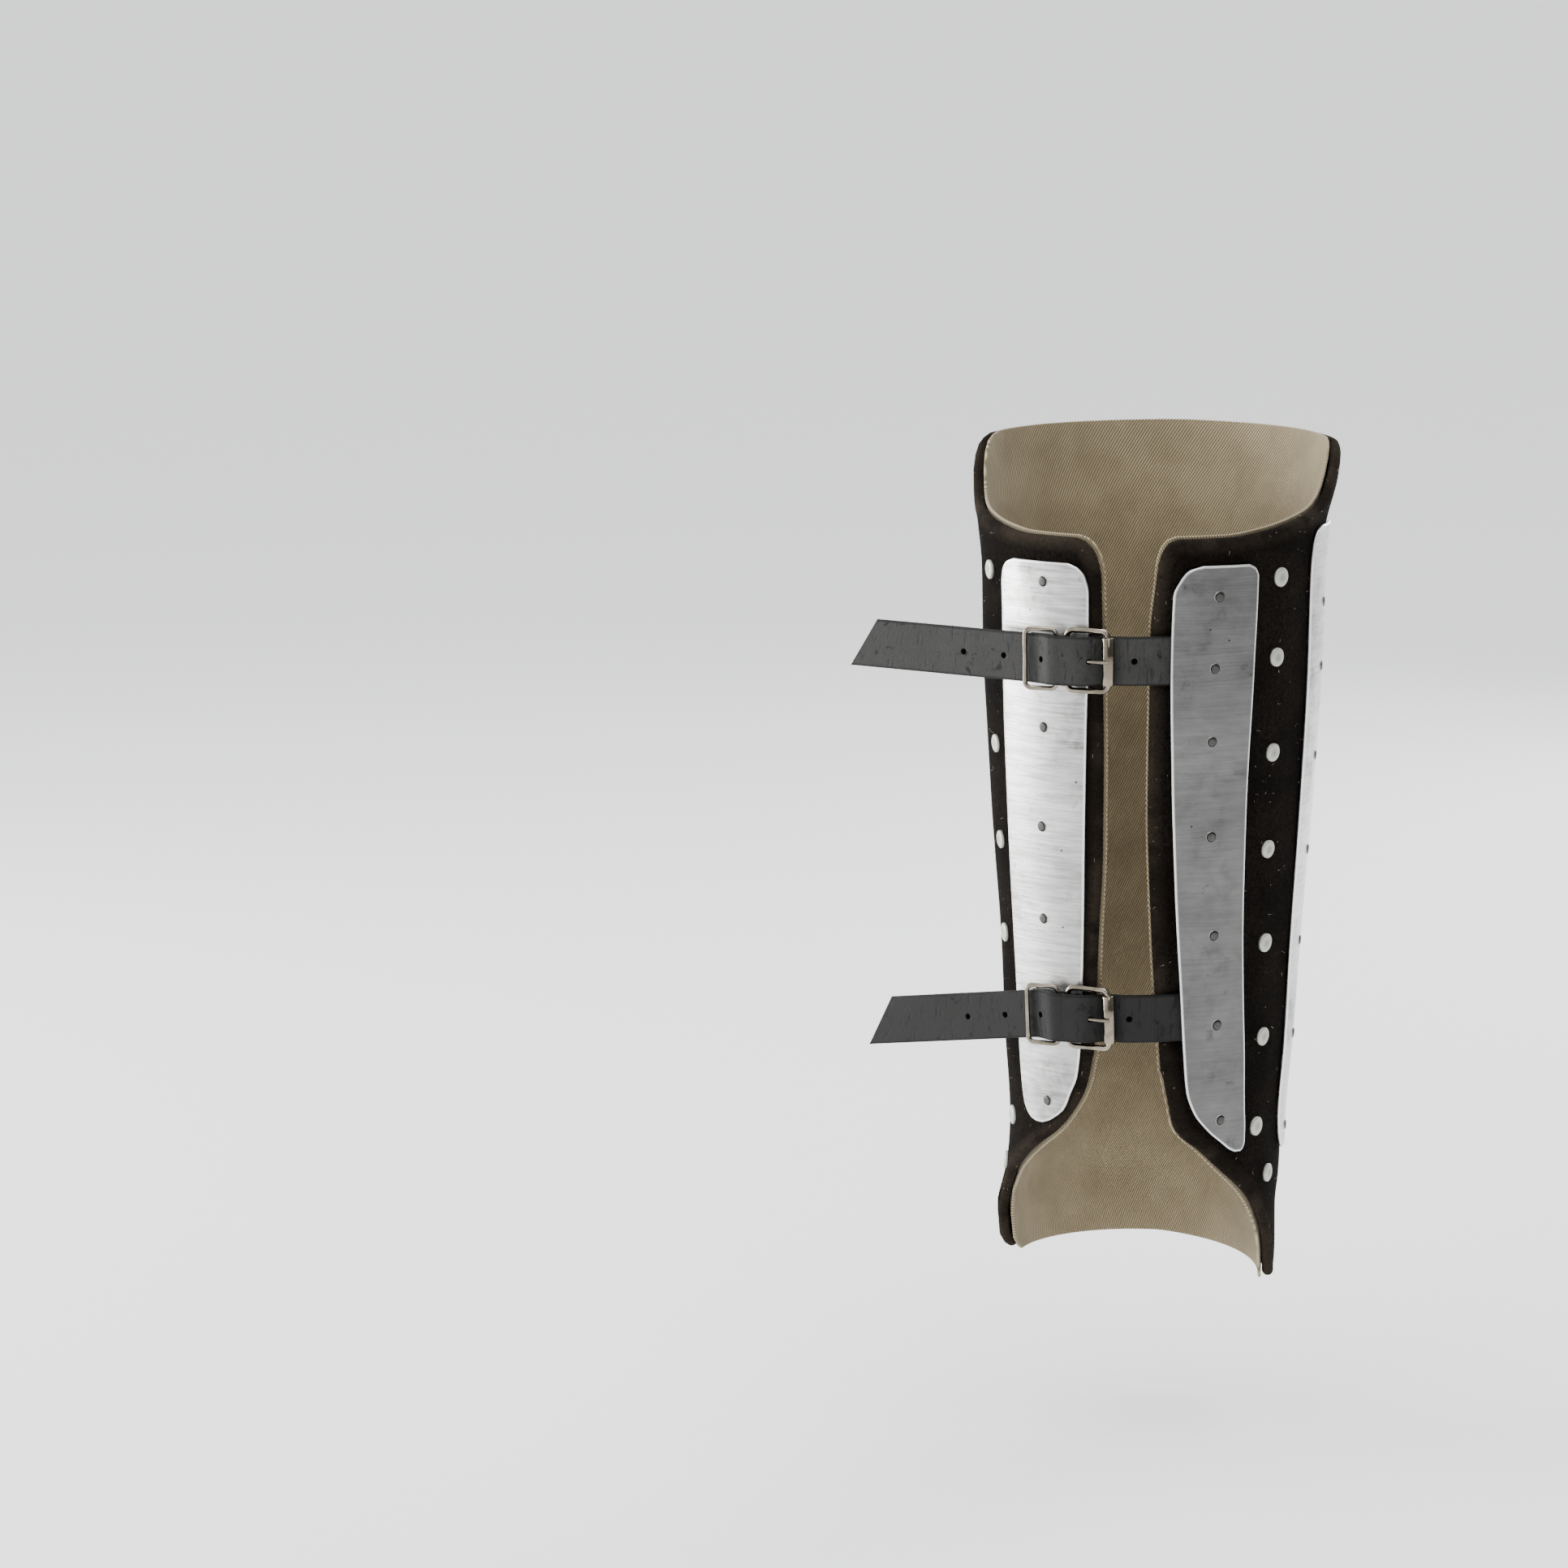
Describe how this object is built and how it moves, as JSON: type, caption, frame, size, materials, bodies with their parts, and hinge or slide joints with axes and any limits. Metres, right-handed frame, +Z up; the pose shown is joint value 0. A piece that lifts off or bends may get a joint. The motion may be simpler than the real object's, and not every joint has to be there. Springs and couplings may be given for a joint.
{
  "type": "splinted greave",
  "caption": "Splinted leg greave for the right lower leg: thick suede shell open at the back, twill lining, riveted steel splints, disc rivets and two buckled straps.",
  "frame": {"origin": "on the axis of the leg, at the height of the lowest point of the hem", "axes": "+Z up along the leg towards the knee, +Y forward over the shin, +X towards the outer side of a right leg; the opening faces -Y"},
  "size_m": [0.195, 0.1596, 0.353],
  "materials": {
    "suede": "black-brown suede with short fuzz and rolled edges, matte",
    "twill": "natural twill canvas, matte",
    "splint_steel": "brushed across the plate, with grey stains and bright edges",
    "disc_steel": "flat rivet heads, dull whitish grey",
    "belt_leather": "matte black strap leather with fine cross creases",
    "nickel": "polished nickel plate"
  },
  "bodies": {
    "root": {"shell": "suede", "lining": "twill", "splint_back_outer": "splint_steel", "splint_back_inner": "splint_steel", "splint_side_outer": "splint_steel", "splint_side_inner": "splint_steel", "splint_front": "splint_steel", "disc_back_outer_1": "disc_steel", "disc_back_outer_2": "disc_steel", "disc_back_outer_3": "disc_steel", "disc_back_outer_4": "disc_steel", "disc_back_outer_5": "disc_steel", "disc_back_outer_6": "disc_steel", "disc_back_outer_7": "disc_steel", "disc_back_outer_8": "disc_steel", "disc_back_inner_1": "disc_steel", "disc_back_inner_2": "disc_steel", "disc_back_inner_3": "disc_steel", "disc_back_inner_4": "disc_steel", "disc_back_inner_5": "disc_steel", "disc_back_inner_6": "disc_steel", "disc_back_inner_7": "disc_steel", "disc_back_inner_8": "disc_steel", "disc_front_outer_1": "disc_steel", "disc_front_outer_2": "disc_steel", "disc_front_outer_3": "disc_steel", "disc_front_outer_4": "disc_steel", "disc_front_outer_5": "disc_steel", "disc_front_outer_6": "disc_steel", "disc_front_outer_7": "disc_steel", "disc_front_outer_8": "disc_steel", "disc_front_inner_1": "disc_steel", "disc_front_inner_2": "disc_steel", "disc_front_inner_3": "disc_steel", "disc_front_inner_4": "disc_steel", "disc_front_inner_5": "disc_steel", "disc_front_inner_6": "disc_steel", "disc_front_inner_7": "disc_steel", "disc_front_inner_8": "disc_steel", "upper_tongue_strap": "belt_leather", "upper_buckle_strap": "belt_leather", "upper_buckle_frame": "nickel", "upper_buckle_roller": "nickel", "upper_buckle_prong": "nickel", "upper_keeper": "nickel", "lower_tongue_strap": "belt_leather", "lower_buckle_strap": "belt_leather", "lower_buckle_frame": "nickel", "lower_buckle_roller": "nickel", "lower_buckle_prong": "nickel", "lower_keeper": "nickel"}
  },
  "joints": []
}
